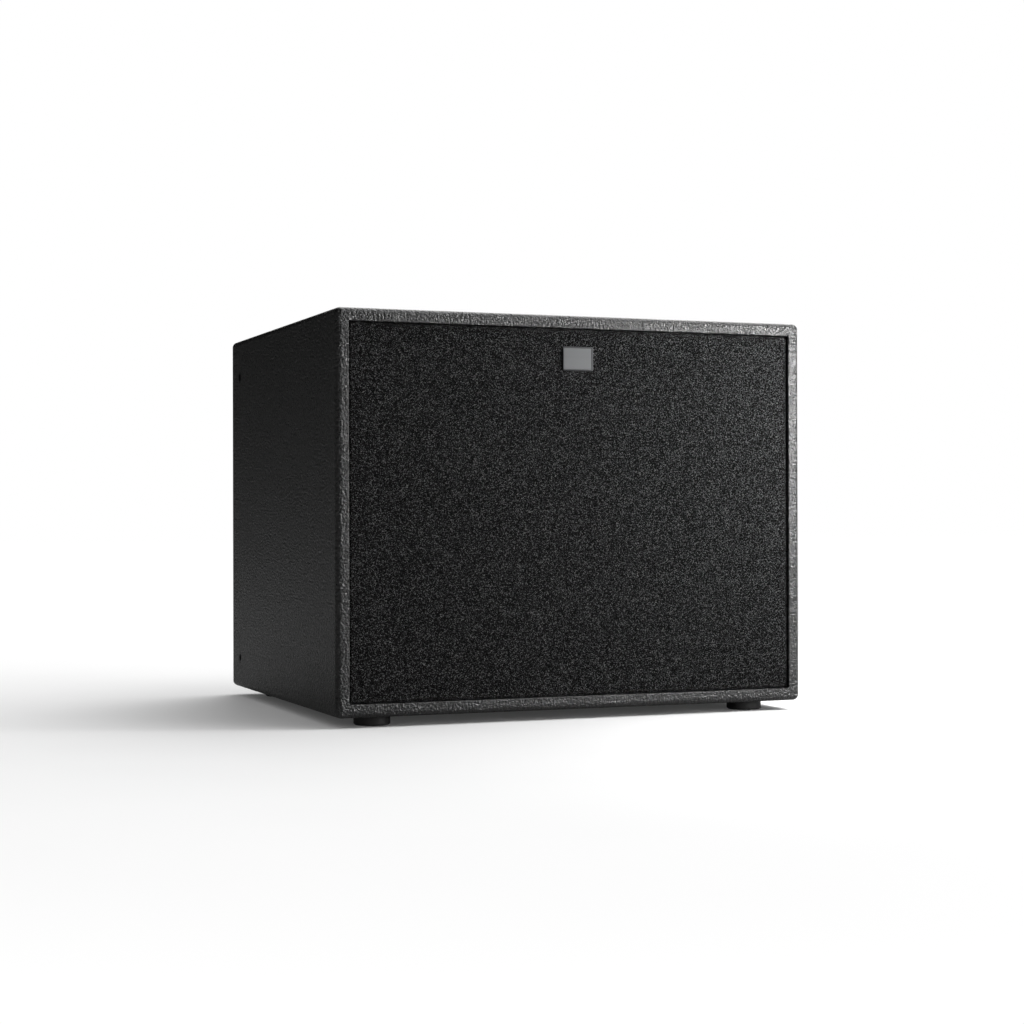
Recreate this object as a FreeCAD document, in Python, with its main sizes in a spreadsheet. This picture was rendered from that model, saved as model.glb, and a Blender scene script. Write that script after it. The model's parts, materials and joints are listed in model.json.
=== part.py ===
"""Compact powered bass-reflex subwoofer with a pull-off foam-fronted grille.

Frame: origin on the floor under the middle of the cabinet, X to the right as
seen from the front, Y towards the rear, Z up.  Millimetres.

Most pieces are drawn in a "front frame": x to the right, y up, z out of the
front of the cabinet (so z = -Y).  FRONT turns that frame into the model's.
"""
import FreeCAD
import Part
import Sketcher
import math
import os

V = FreeCAD.Vector
doc = FreeCAD.newDocument("Subwoofer")

# --------------------------------------------------------------------------
# driving dimensions
# --------------------------------------------------------------------------
sheet = doc.addObject("Spreadsheet::Sheet", "Dims")


class Dim:
    """A number together with the sheet expression that it comes from."""

    def __init__(self, value, text):
        self.value = float(value)
        self.text = text

    def _join(self, other, sign, value, flip=False):
        other = as_dim(other)
        a, b = (other, self) if flip else (self, other)
        return Dim(value, "(%s %s %s)" % (a.text, sign, b.text))

    def __add__(self, o):
        return self._join(o, "+", self.value + as_dim(o).value)

    def __radd__(self, o):
        return self._join(o, "+", self.value + as_dim(o).value, True)

    def __sub__(self, o):
        return self._join(o, "-", self.value - as_dim(o).value)

    def __rsub__(self, o):
        return self._join(o, "-", as_dim(o).value - self.value, True)

    def __mul__(self, o):
        return self._join(o, "*", self.value * as_dim(o).value)

    def __rmul__(self, o):
        return self._join(o, "*", self.value * as_dim(o).value, True)

    def __truediv__(self, o):
        return self._join(o, "/", self.value / as_dim(o).value)

    def __neg__(self):
        return Dim(-self.value, "(0 - %s)" % self.text)


def as_dim(x):
    if isinstance(x, Dim):
        return x
    text = "%.6f" % x
    return Dim(x, text if x >= 0 else "(0 - %.6f)" % -x)


_row = [0]


def dim(alias, value, note=""):
    _row[0] += 1
    cell = "A%d" % _row[0]
    sheet.set(cell, str(value))
    sheet.setAlias(cell, alias)
    if note:
        sheet.set("B%d" % _row[0], note)
    return Dim(value, "Dims." + alias)


# cabinet
cab_w = dim("cab_width", 420, "outer width")
cab_h = dim("cab_height", 328, "outer height without feet")
cab_d = dim("cab_depth", 350, "outer depth")
wall = dim("wall_thick", 15, "birch ply wall")
lip = dim("lip_width", 11, "visible border round the front")
edge_r = dim("edge_radius", 5, "rounding of every outer edge")
foot_h = dim("foot_height", 8.5)
foot_r = dim("foot_radius", 15)
foot_x = dim("foot_inset_side", 39)
foot_y = dim("foot_inset_front", 31)
foot_yr = dim("foot_inset_rear", 35)
baffle_z = dim("baffle_setback", 35, "front edge of the cabinet to the baffle")
baffle_t = dim("baffle_thick", 18)
rear_z = dim("rear_setback", 20, "rear edge of the cabinet to the rear board")
rear_t = dim("rear_thick", 15)
# driver
drv_x = dim("driver_x", -60)
drv_r = dim("driver_flange_radius", 130)
drv_cut = dim("driver_cutout_radius", 116)
bolt_r = dim("driver_bolt_circle_radius", 123.5)
cone_r = dim("cone_radius", 95)
neck_r = dim("cone_neck_radius", 25.6)
neck_z = dim("cone_neck_depth", 58)
roll_r = dim("surround_roll_radius", 10)
coil_r = dim("former_outer_radius", 25.5)
gap_t = dim("front_plate_thick", 8)
mag_r = dim("magnet_radius", 70)
mag_t = dim("magnet_thick", 36)
pole_r = dim("pole_radius", 24.3)
travel = dim("cone_travel", 8, "one way")
# port
port_x = dim("port_x", 133)
port_r = dim("port_inner_radius", 34)
port_len = dim("port_length", 206)
# grille
foam_gap = dim("foam_gap", 0.6, "gap round the grille")
foam_back = dim("foam_recess", 2, "foam face behind the lip")
foam_t = dim("foam_thick", 8)
sheet_t = dim("grille_sheet_thick", 1.2)
badge_w = dim("badge_width", 27.5)
badge_h = dim("badge_height", 20)
badge_y = dim("badge_above_base", 292)
peg_x = dim("peg_x", 184)
peg_y = dim("peg_y", 138, "from mid height")
# side fixing points
ins_y = dim("insert_from_rear", 32)
ins_z = dim("insert_half_spacing", 132)
ins_drop = dim("insert_pair_below_mid", 3.5)
ins_r = dim("insert_radius", 5.5)
ins_bore = dim("insert_bore_radius", 3.4, "M8 core")
# amplifier
amp_w = dim("amp_width", 250)
amp_h = dim("amp_height", 190)
amp_t = dim("amp_thick", 3)
gask_t = dim("amp_gasket_thick", 2)
knob_r = dim("knob_radius", 10)
knob_l = dim("knob_length", 12.5)
shaft_r = dim("pot_shaft_radius", 3)
ctrl_y = dim("control_row", -6, "below the middle of the amplifier plate")
jack_y = dim("lower_row", -54, "below the middle of the amplifier plate")
gain_x = dim("gain_x", 96)
xover_x = dim("crossover_x", 60)
phase_x = dim("phase_x", 27)
led_x = dim("led_x", 3)
inlet_x = dim("inlet_x", -52)
rocker_x = dim("rocker_x", -94)
doc.recompute()

mid_z = foot_h + cab_h / 2              # middle of the cabinet above the floor
front = cab_d / 2                       # front plane in the front frame
open_x = cab_w / 2 - lip                # half width of the rebated opening
open_y = cab_h / 2 - lip
b_front = front - baffle_z              # baffle front face
b_back = b_front - baffle_t
r_back = rear_z - front                 # rear board's outer face
r_front = r_back + rear_t
amp_in = r_back - gask_t                # amplifier plate, inner face
amp_out = amp_in - amp_t                # amplifier plate, outer face
ly = jack_y
cy_ = ctrl_y

FRONT = FreeCAD.Rotation(V(1, 0, 0), 90)
FLAT = FreeCAD.Rotation()
NODES = []


# --------------------------------------------------------------------------
# helpers
# --------------------------------------------------------------------------
def node(obj, name):
    obj.Label = name
    NODES.append(obj)
    return obj


def body(name, turn=FRONT, at=(0, 0, 0), many=False):
    """A Body in the front frame; at is given in the model's frame."""
    b = doc.addObject("PartDesign::Body", name + "_body")
    b.AllowCompound = many
    at = [as_dim(a) for a in at]
    b.Placement = FreeCAD.Placement(V(*[a.value for a in at]), turn)
    for axis, a in zip("xyz", at):
        if "Dims" in a.text:
            b.setExpression(".Placement.Base." + axis, a.text)
    return node(b, name)


CENTRE = (0, 0, mid_z)                       # front frame at mid height
DRIVER = (drv_x, -b_front, mid_z)            # z = 0 at the baffle's front face
PORT = (port_x, -b_front, mid_z)


def sketch(b, plane, z, loops):
    """loops: [("c", x, y, r) | ("p", [(x, y) or (x, y, cx, cy), ...])]; a point
    with a centre starts an arc of under half a turn to the next point."""
    sk = b.newObject("Sketcher::SketchObject", b.Label + "_sketch")
    sk.AttachmentSupport = [([f for f in b.Origin.OriginFeatures
                              if f.Role == plane][0], "")]
    sk.MapMode = "FlatFace"
    z = as_dim(z)
    sk.AttachmentOffset = FreeCAD.Placement(V(0, 0, z.value), FLAT)
    if "Dims" in z.text:
        sk.setExpression(".AttachmentOffset.Base.z", z.text)
    cons, exprs = [], []

    def fix(kind, where, value):
        cons.append(Sketcher.Constraint(kind, *where, value.value))
        if "Dims" in value.text:
            exprs.append((len(cons) - 1, value.text))

    def pin_one(geo, pos, kind, axis, value):
        if abs(value.value) < 1e-9:
            cons.append(Sketcher.Constraint("PointOnObject", geo, pos, axis))
        else:
            fix(kind, (-1, 1, geo, pos), value)

    def pin(geo, pos, x, y):
        pin_one(geo, pos, "DistanceX", -2, x)
        pin_one(geo, pos, "DistanceY", -1, y)

    for loop in loops:
        if loop[0] == "c":
            x, y, r = [as_dim(a) for a in loop[1:]]
            g = sk.addGeometry(Part.Circle(V(x.value, y.value, 0), V(0, 0, 1),
                                           r.value), False)
            pin(g, 3, x, y)
            fix("Radius", (g,), r)
            continue
        pts = [[as_dim(p[0]), as_dim(p[1])] + list(p[2:]) for p in loop[1]]
        ids, ends = [], []
        for i, p in enumerate(pts):
            q = pts[(i + 1) % len(pts)]
            a, c = V(p[0].value, p[1].value, 0), V(q[0].value, q[1].value, 0)
            if len(p) == 4:                   # arc round the given centre
                o = V(as_dim(p[2]).value, as_dim(p[3]).value, 0)
                r = ((a - o).Length + (c - o).Length) / 2
                swapped = (a - o).cross(c - o).z < 0
                first, last = (c, a) if swapped else (a, c)
                a0 = math.atan2(first.y - o.y, first.x - o.x)
                a1 = math.atan2(last.y - o.y, last.x - o.x)
                if a1 < a0:
                    a1 += 2 * math.pi
                g = sk.addGeometry(Part.ArcOfCircle(
                    Part.Circle(o, V(0, 0, 1), r), a0, a1), False)
                ends.append((2, 1) if swapped else (1, 2))
                ids.append(g)
            else:
                ids.append(sk.addGeometry(Part.LineSegment(a, c), False))
                ends.append((1, 2))
        for i, p in enumerate(pts):
            j = (i + 1) % len(pts)
            cons.append(Sketcher.Constraint("Coincident", ids[i], ends[i][1],
                                            ids[j], ends[j][0]))
            pin(ids[i], ends[i][0], p[0], p[1])
            if len(p) == 4:
                q = pts[j]
                steep = abs(p[1].value - q[1].value) > abs(p[0].value - q[0].value) - 1e-9
                if steep or abs(as_dim(p[2]).value) < 1e-9:
                    pin_one(ids[i], 3, "DistanceX", -2, as_dim(p[2]))
                else:
                    pin_one(ids[i], 3, "DistanceY", -1, as_dim(p[3]))
    index = sk.addConstraint(cons)
    for k, text in exprs:
        sk.setExpression("Constraints[%d]" % index[k], text)
    return sk


def healthy(f):
    doc.recompute()
    if "Invalid" in f.State or "Error" in f.State or f.Shape.isNull():
        raise RuntimeError("%s failed: %s" % (f.Label, f.State))
    return f


def bind(obj, prop, value):
    value = as_dim(value)
    setattr(obj, prop, value.value)
    if "Dims" in value.text:
        obj.setExpression(prop, value.text)


def pad(b, loops, z0, z1, plane="XY_Plane"):
    sk = sketch(b, plane, z0, loops)
    f = b.newObject("PartDesign::Pad", b.Label + "_pad")
    f.Profile = sk
    bind(f, "Length", as_dim(z1) - z0)
    return healthy(f)


def pocket(b, loops, z0, z1, plane="XY_Plane"):
    """Cuts from z1 down to z0; the volume has to drop."""
    before = b.Shape.Volume
    sk = sketch(b, plane, z1, loops)
    f = b.newObject("PartDesign::Pocket", b.Label + "_pocket")
    f.Profile = sk
    bind(f, "Length", as_dim(z1) - z0)
    healthy(f)
    if not b.Shape.Volume < before - 1e-3:
        raise RuntimeError("pocket in %s cuts nothing" % b.Label)
    return f


def turn(b, points, angle=360.0):
    """Revolves a profile of (radius, z) points about the body's Z axis."""
    sk = sketch(b, "XZ_Plane", 0, [("p", points)])
    f = b.newObject("PartDesign::Revolution", b.Label + "_turn")
    f.Profile = sk
    f.ReferenceAxis = (sk, ["V_Axis"])
    f.Angle = angle
    if angle < 360:
        f.Midplane = True
    return healthy(f)


def around(b, features, count):
    f = b.newObject("PartDesign::PolarPattern", b.Label + "_around")
    f.Originals = features
    f.Axis = ([x for x in b.Origin.OriginFeatures if x.Role == "Z_Axis"][0], [""])
    f.Angle = 360
    f.Occurrences = count
    b.Tip = f
    return healthy(f)


def edges_where(shape, test):
    return [i + 1 for i, e in enumerate(shape.Edges) if test(e)]


def dress(b, kind, size, test):
    """Fillet or chamfer on the body's current tip, on the edges that pass."""
    tip = b.Tip
    names = ["Edge%d" % i for i in edges_where(tip.Shape, test)]
    if not names:
        raise RuntimeError("no edge to dress on " + b.Label)
    f = b.newObject("PartDesign::" + kind, b.Label + "_" + kind.lower())
    f.Base = (tip, names)
    bind(f, "Radius" if kind == "Fillet" else "Size", size)
    return healthy(f)


def at_z(e, z, tol=1e-4):
    z = as_dim(z).value
    return all(abs(v.Point.z - z) < tol for v in e.Vertexes)


def upright(e):
    return (len(e.Vertexes) == 2 and abs(e.Vertexes[0].Point.x - e.Vertexes[1].Point.x) < 1e-6
            and abs(e.Vertexes[0].Point.y - e.Vertexes[1].Point.y) < 1e-6
            and e.Length > 0.2)


def rect(x0, x1, y0, y1):
    return ("p", [(x0, y0), (x1, y0), (x1, y1), (x0, y1)])


def box(x, y, hx, hy):
    return rect(x - hx, x + hx, y - hy, y + hy)


def ring_at(r, count, start=0.0):
    """Factors of r for evenly spaced places on a circle."""
    out = []
    for k in range(count):
        a = math.radians(start + 360.0 * k / count)
        out.append((r * round(math.cos(a), 6), r * round(math.sin(a), 6)))
    return out


def part_box(name, x0, x1, y0, y1, z0, z1):
    o = doc.addObject("Part::Box", name)
    for prop, lo, hi in (("Length", x0, x1), ("Width", y0, y1), ("Height", z0, z1)):
        bind(o, prop, as_dim(hi) - lo)
    for axis, lo in zip("xyz", (x0, y0, z0)):
        lo = as_dim(lo)
        p = o.Placement
        setattr(p.Base, axis, lo.value)
        o.Placement = p
        if "Dims" in lo.text:
            o.setExpression(".Placement.Base." + axis, lo.text)
    return o


def part_cyl(name, r, length, base, rotation):
    o = doc.addObject("Part::Cylinder", name)
    bind(o, "Radius", r)
    bind(o, "Height", length)
    base = [as_dim(a) for a in base]
    o.Placement = FreeCAD.Placement(V(*[a.value for a in base]), rotation)
    for axis, a in zip("xyz", base):
        if "Dims" in a.text:
            o.setExpression(".Placement.Base." + axis, a.text)
    return o


# --------------------------------------------------------------------------
# cabinet shell: one rounded box, hollowed, rebated front and rear, and split
# into four walls along the mitres
# --------------------------------------------------------------------------
outer = part_box("cabinet_block", -cab_w / 2, cab_w / 2, -cab_d / 2, cab_d / 2,
                 foot_h, foot_h + cab_h)
doc.recompute()
soft = doc.addObject("Part::Fillet", "cabinet_rounded")
soft.Base = outer
soft.Edges = [(i + 1, edge_r.value, edge_r.value) for i in range(12)]
inside = part_box("cabinet_inside", wall - cab_w / 2, cab_w / 2 - wall,
                  -cab_d / 2 - 1, cab_d / 2 + 1,
                  foot_h + wall, foot_h + cab_h - wall)
front_rebate = part_box("front_rebate", -open_x, open_x, -cab_d / 2 - 1,
                        -b_back, mid_z - open_y, mid_z + open_y)
rear_rebate = part_box("rear_rebate", -open_x, open_x, -r_front,
                       cab_d / 2 + 1, mid_z - open_y, mid_z + open_y)
hollow = doc.addObject("Part::MultiFuse", "cabinet_hollow")
hollow.Shapes = [inside, front_rebate, rear_rebate]
shell = doc.addObject("Part::Cut", "cabinet_shell")
shell.Base = soft
shell.Tool = hollow
doc.recompute()

MITRE = 40.0
insert_tools = []
for sx in (-1, 1):
    for sz in (-1, 1):
        insert_tools.append(part_cyl(
            "insert_hole", ins_r, lip + 1,
            (sx * (cab_w / 2 + 1), cab_d / 2 - ins_y, mid_z - ins_drop + sz * ins_z),
            FreeCAD.Rotation(V(0, 1, 0), -90 * sx)))
foot_places = [(sx * (cab_w / 2 - foot_x), yy) for sx in (-1, 1)
               for yy in (foot_y - cab_d / 2, cab_d / 2 - foot_yr)]
foot_tools = [part_cyl("foot_screw_hole", 2.0, 14, (x, y, foot_h - 1), FLAT)
              for x, y in foot_places]


def wall_panel(name, side):
    """side: top, bottom, left or right; the mitres run at 45 degrees."""
    w = doc.addObject("Part::Wedge", name + "_wedge")
    across = cab_w if side in ("top", "bottom") else cab_h
    bind(w, "Xmin", MITRE - across / 2)
    bind(w, "Xmax", across / 2 - MITRE)
    bind(w, "X2min", -across / 2 - 1)
    bind(w, "X2max", across / 2 + 1)
    bind(w, "Ymin", 0)
    bind(w, "Ymax", MITRE + 1)
    bind(w, "Zmin", -cab_d / 2 - 1)
    bind(w, "Zmax", cab_d / 2 + 1)
    bind(w, "Z2min", -cab_d / 2 - 1)
    bind(w, "Z2max", cab_d / 2 + 1)
    spin = {"top": 0, "left": 90, "bottom": 180, "right": 270}[side]
    rot = FreeCAD.Rotation(V(0, 1, 0), -spin).multiply(FRONT)
    reach = as_dim(MITRE)
    bx, bz = as_dim(0), mid_z
    if side == "top":
        bz = mid_z + cab_h / 2 - reach
    elif side == "bottom":
        bz = mid_z - cab_h / 2 + reach
    elif side == "left":
        bx = reach - cab_w / 2
    else:
        bx = cab_w / 2 - reach
    w.Placement = FreeCAD.Placement(V(bx.value, 0, bz.value), rot)
    if "Dims" in bx.text:
        w.setExpression(".Placement.Base.x", bx.text)
    w.setExpression(".Placement.Base.z", bz.text)
    common = doc.addObject("Part::Common", name + "_split")
    common.Base = shell
    common.Tool = w
    doc.recompute()
    # ease the inner edge of the lips, front and rear
    hx, hz = open_x.value, open_y.value

    def inner(e):
        if len(e.Vertexes) != 2 or e.Length < 100:
            return False
        a, c = e.Vertexes[0].Point, e.Vertexes[1].Point
        if abs(abs(a.y) - cab_d.value / 2) > 1e-4 or abs(a.y - c.y) > 1e-4:
            return False
        if side in ("top", "bottom"):
            return abs(abs(a.z - mid_z.value) - hz) < 1e-3 and abs(a.z - c.z) < 1e-4
        return abs(abs(a.x) - hx) < 1e-3 and abs(a.x - c.x) < 1e-4

    eased = doc.addObject("Part::Fillet", name + "_eased")
    eased.Base = common
    eased.Edges = [(i, 1.0, 1.0) for i in edges_where(common.Shape, inner)]
    last = eased
    tools = {"left": insert_tools[:2], "right": insert_tools[2:],
             "bottom": foot_tools}.get(side)
    if tools:
        bits = doc.addObject("Part::MultiFuse", name + "_holes")
        bits.Shapes = tools
        last = doc.addObject("Part::Cut", name + "_cut")
        last.Base = eased
        last.Tool = bits
    doc.recompute()
    return node(last, name)


wall_panel("top_panel", "top")
wall_panel("bottom_panel", "bottom")
wall_panel("left_panel", "left")
wall_panel("right_panel", "right")

# baffle: driver and port holes, each with a step that takes the flange
b = body("baffle_board", at=CENTRE)
pad(b, [box(0, 0, open_x, open_y)], b_back, b_front)
pocket(b, [("c", drv_x, 0, drv_r + 0.5)], b_front - 5, b_front)
pocket(b, [("c", drv_x, 0, drv_cut)], b_back, b_front - 5)
pocket(b, [("c", port_x, 0, 49.5)], b_front - 4, b_front)
pocket(b, [("c", port_x, 0, 41.5)], b_back, b_front - 4)
pegs4 = [(sx * peg_x, sy * peg_y) for sx in (-1, 1) for sy in (-1, 1)]
pocket(b, [("c", x, y, 7) for x, y in pegs4], b_front - 12, b_front)
pocket(b, [("c", drv_x + x, y, 2.2) for x, y in ring_at(bolt_r, 8, 22.5)],
       b_back, b_front - 5)

# rear board with the amplifier cut-out
b = body("rear_board", at=CENTRE)
pad(b, [box(0, 0, open_x, open_y)], r_back, r_front)
pocket(b, [box(0, 0, amp_w / 2 - 10, amp_h / 2 - 10)], r_back, r_front)
amp_bolts = [(sx * (amp_w / 2 - 5.5), yy) for sx in (-1, 1)
             for yy in (amp_h / 2 - 5.5, as_dim(0), 5.5 - amp_h / 2)]
amp_bolts += [(sx * (amp_w / 6), sy * (amp_h / 2 - 5.5)) for sx in (-1, 1)
              for sy in (-1, 1)]
pocket(b, [("c", x, y, 1.7) for x, y in amp_bolts], r_back, r_front)

# window brace between the four walls, behind the driver
b = body("window_brace", at=CENTRE)
wx, wy = cab_w / 2 - wall, cab_h / 2 - wall
pad(b, [box(0, 0, wx, wy)], -87, -75)
pocket(b, [rect(30 - wx, -15, 30 - wy, wy - 30), rect(15, wx - 30, 30 - wy, wy - 30)],
       -87, -75)
dress(b, "Fillet", 18, lambda e: upright(e) and abs(e.Vertexes[0].Point.x) < wx.value - 1)

# port
b = body("port_tube", at=PORT)
turn(b, [(port_r, -12, port_r + 12, -12), (port_r + 12, 0), (49, 0), (49, -4), (41, -4),
         (port_r + 3, -12), (port_r + 3, 12 - port_len), (port_r + 12, -port_len + 1),
         (port_r + 12, -port_len), (port_r + 10, -port_len, port_r + 10, 10 - port_len),
         (port_r, 10 - port_len)])

# damping
b = body("wadding_top_bottom", at=CENTRE, many=True)
pad(b, [rect(4 - wx, wx - 4, wy - 18, wy), rect(4 - wx, wx - 4, -wy, 18 - wy)],
    -70, b_back - 4)
b = body("wadding_sides", at=CENTRE, many=True)
pad(b, [rect(-wx, 14 - wx, 22 - wy, wy - 22), rect(wx - 14, wx, 22 - wy, wy - 22)],
    -70, b_back - 4)

# feet and their screws
b = body("rubber_feet", turn=FLAT, many=True)
pad(b, [("c", x, y, foot_r) for x, y in foot_places], 0, foot_h)
pocket(b, [("c", x, y, 6.5) for x, y in foot_places], 0, 4.5)
pocket(b, [("c", x, y, 2.0) for x, y in foot_places], 4.5, foot_h)
dress(b, "Chamfer", 1.2, lambda e: at_z(e, 0) and e.Length > 60)
b = body("foot_screws", turn=FLAT, many=True)
pad(b, [("c", x, y, 5.5) for x, y in foot_places], 2.3, 4.5)
pad(b, [("c", x, y, 2.0) for x, y in foot_places], 4.5, foot_h + 10)
pocket(b, [box(x, y, 0.6, 3.0) for x, y in foot_places]
       , 2.3, 3.4)

# threaded inserts in the side walls for a bracket
b = body("threaded_inserts", turn=FreeCAD.Rotation(V(0.57735, 0.57735, 0.57735), 120),
         at=(0, cab_d / 2 - ins_y, mid_z - ins_drop), many=True)
# in this body's frame: x -> Y, y -> Z, z -> X
for sx in (-1, 1):
    lo, hi = (-cab_w / 2, -open_x) if sx < 0 else (open_x, cab_w / 2)
    pad(b, [("c", 0, sz * ins_z, ins_r) for sz in (-1, 1)]
        + [("c", 0, sz * ins_z, ins_bore) for sz in (-1, 1)], lo, hi)

# --------------------------------------------------------------------------
# grille
# --------------------------------------------------------------------------
g_x, g_y = open_x - foam_gap, open_y - foam_gap
foam_f = front - foam_back
foam_b = foam_f - foam_t
b = body("grille_foam", at=CENTRE)
pad(b, [box(0, 0, g_x, g_y)], foam_b, foam_f)
dress(b, "Fillet", 1.0, lambda e: at_z(e, foam_f))
b = body("grille_sheet", at=CENTRE)
pad(b, [box(0, 0, g_x, g_y)], foam_b - 10, foam_b)
pocket(b, [box(0, 0, g_x - sheet_t, g_y - sheet_t)], foam_b - 10, foam_b - sheet_t)
b = body("badge_plate", at=(0, 0, foot_h + badge_y))
pad(b, [box(0, 0, badge_w / 2, badge_h / 2)], foam_f, foam_f + 1.4)
dress(b, "Fillet", 1.4, upright)
pocket(b, [box(0, 0, badge_w / 2 - 1.2, badge_h / 2 - 1.2)], foam_f + 1.0, foam_f + 1.4)
b = body("grille_pegs", at=CENTRE, many=True)
pad(b, [("c", x, y, 8) for x, y in pegs4], foam_b - sheet_t - 2, foam_b - sheet_t)
pad(b, [("c", x, y, 4) for x, y in pegs4], b_front - 9, foam_b - sheet_t - 2)
dress(b, "Chamfer", 1.0, lambda e: at_z(e, b_front - 9))
b = body("grille_sockets", at=CENTRE, many=True)
pad(b, [("c", x, y, 7) for x, y in pegs4], b_front - 12, b_front)
pad(b, [("c", x, y, 9) for x, y in pegs4], b_front, b_front + 1.5)
pocket(b, [("c", x, y, 4.3) for x, y in pegs4], b_front - 10.5, b_front + 1.5)

# --------------------------------------------------------------------------
# driver, z = 0 at the baffle's front face
# --------------------------------------------------------------------------
w_ring = as_dim(-74)
w_plate = as_dim(-84)                     # front plate's outer face
w_mag = w_plate - gap_t
w_yoke = w_mag - mag_t
b = body("driver_basket", at=DRIVER, many=True)
turn(b, [(112, -5), (drv_r, -5), (drv_r, 0), (121.4, 0), (121.4, -0.8), (112, -0.8)])
turn(b, [(66, w_ring), (77, w_ring), (77, w_ring + 6), (74, w_ring + 6),
         (74, w_ring + 5), (66, w_ring + 5)])
turn(b, [(34, w_plate), (70, w_plate), (70, w_ring), (66, w_ring), (66, w_plate + 3),
         (34, w_plate + 3)])
leg = turn(b, [(74, w_ring), (77, w_ring), (112.5, -12), (115.5, -5), (112, -3),
               (107.5, -5), (74, w_ring + 6)], 24)
around(b, [leg], 6)
pocket(b, [("c", x, y, 2.2) for x, y in ring_at(bolt_r, 8, 22.5)], -5, 0)

b = body("driver_gasket", at=DRIVER)
turn(b, [(114.4, 0), (drv_r - 0.5, 0), (drv_r - 0.5, 1.6), (drv_r - 1.4, 2.5),
         (115.2, 2.5), (114.4, 1.8)])
pocket(b, [("c", x, y, 2.2) for x, y in ring_at(bolt_r, 8, 22.5)], 0, 2.5)

b = body("driver_screws", at=DRIVER, many=True)
pad(b, [("c", x, y, 4.4) for x, y in ring_at(bolt_r, 8, 22.5)], 2.5, 5.3)
pad(b, [("c", x, y, 2.2) for x, y in ring_at(bolt_r, 8, 22.5)], -baffle_t, 2.5)
pocket(b, [("p", [(cx + 2 * c, cy + 2 * s) for c, s in ring_at(1.1, 6)])
           for cx, cy in ring_at(bolt_r, 8, 22.5)], 3.3, 5.3)
dress(b, "Chamfer", 0.5, lambda e: at_z(e, 5.3) and abs(e.Length - 2 * math.pi * 4.4) < 0.1)

b = body("surround", at=DRIVER)
mid_r = cone_r - 1 + roll_r
r_in = roll_r - 1.2
turn(b, [(cone_r - 7, -0.8), (mid_r - r_in, -0.8), (mid_r - r_in, 0, mid_r, 0),
         (mid_r, r_in, mid_r, 0), (mid_r + r_in, 0), (mid_r + r_in, -0.8), (121, -0.8),
         (121, 0), (mid_r + roll_r, 0, mid_r, 0), (mid_r, roll_r, mid_r, 0),
         (mid_r - roll_r, 0), (cone_r - 7, 0)])

b = body("cone", at=DRIVER)
turn(b, [(neck_r, -neck_z), (neck_r + 1.6, -neck_z - 0.6), (52, -39.6), (76, -20.2), (cone_r + 0.5, -2.4),
         (cone_r + 0.5, -0.9), (cone_r - 1.5, -0.9), (74.6, -19.4), (50.8, -38.8)])
b = body("dust_cap", at=DRIVER)
turn(b, [(0, -29, 0, -89), (40, -44.2786), (41.2, -44.8), (41.2, -45.9),
         (39.6, -45.2644, 0, -89), (0, -30)])
b = body("coil_former", at=DRIVER)
turn(b, [(coil_r - 0.6, -99), (coil_r, -99), (coil_r, -neck_z + 2), (coil_r - 0.6, -neck_z + 2)])
b = body("voice_coil", at=DRIVER)
turn(b, [(coil_r, -99), (coil_r + 1.5, -99), (coil_r + 1.5, -77), (coil_r, -77)])
b = body("spider", at=DRIVER)
zig = [(28, -63.0), (33, -62.0), (38, -65.5), (43, -62.0), (48, -65.5), (53, -62.0), (58, -65.5),
       (63, -63.5), (67, -68.2), (72.8, -68.2)]
turn(b, [(coil_r, -63.0)] + zig + [(r, z - 0.8) for r, z in reversed(zig)] + [(coil_r, -63.8)])

b = body("front_plate", at=DRIVER)
turn(b, [(28, w_mag), (62, w_mag), (62, w_plate), (28, w_plate)])
b = body("magnet_ring", at=DRIVER)
turn(b, [(33, w_yoke), (mag_r - 1, w_yoke), (mag_r, w_yoke + 1), (mag_r, w_mag - 1),
         (mag_r - 1, w_mag), (33, w_mag)])
b = body("yoke", at=DRIVER)
turn(b, [(9, w_yoke - 8), (62, w_yoke - 8), (66, w_yoke - 4), (66, w_yoke),
         (pole_r, w_yoke), (pole_r, w_plate), (9, w_plate)])
tag_y = as_dim(-80)
b = body("driver_terminals", at=DRIVER)
pad(b, [rect(-14, 14, tag_y - 5, tag_y + 3.0)], w_ring, w_ring + 12)
pad(b, [box(sx * 8, tag_y - 9, 2.4, 4) for sx in (-1, 1)], w_ring + 4, w_ring + 4.8)


# --------------------------------------------------------------------------
# wires: straight runs joined by tangent arcs
# --------------------------------------------------------------------------
def route(points, r):
    """Sweeps a round wire of radius r along points; returns the solid and its
    length."""
    pts = [V(*p) for p in points]
    edges, start, length, radii = [], pts[0], 0.0, []
    for i in range(1, len(pts) - 1):
        a, p, c = pts[i - 1], pts[i], pts[i + 1]
        u, w = (p - a).normalize(), (c - p).normalize()
        turn_by = u.getAngle(w)
        short = min((p - a).Length, (c - p).Length)
        cut = 0.45 * short
        rad = cut / math.tan(turn_by / 2)
        radii.append(round(rad, 1))
        t0, t1 = p - u * cut, p + w * cut
        bis = (w - u).normalize()
        centre = p + bis * (rad / math.cos(turn_by / 2))
        midp = centre - bis * rad
        edges.append(Part.LineSegment(start, t0).toShape())
        arc = Part.Arc(t0, midp, t1).toShape()
        length += (t0 - start).Length + arc.Length
        edges.append(arc)
        start = t1
    edges.append(Part.LineSegment(start, pts[-1]).toShape())
    length += (pts[-1] - start).Length
    path = Part.Wire(edges)
    first = (pts[1] - pts[0]).normalize()
    ring = Part.Wire([Part.Circle(pts[0], first, r).toShape()])
    solid = path.makePipeShell([ring], True, False, 1)
    want = math.pi * r * r * length
    print("wire radii", radii, "length %.1f" % length,
          "volume ratio %.4f" % (solid.Volume / want))
    return solid, length


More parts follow.
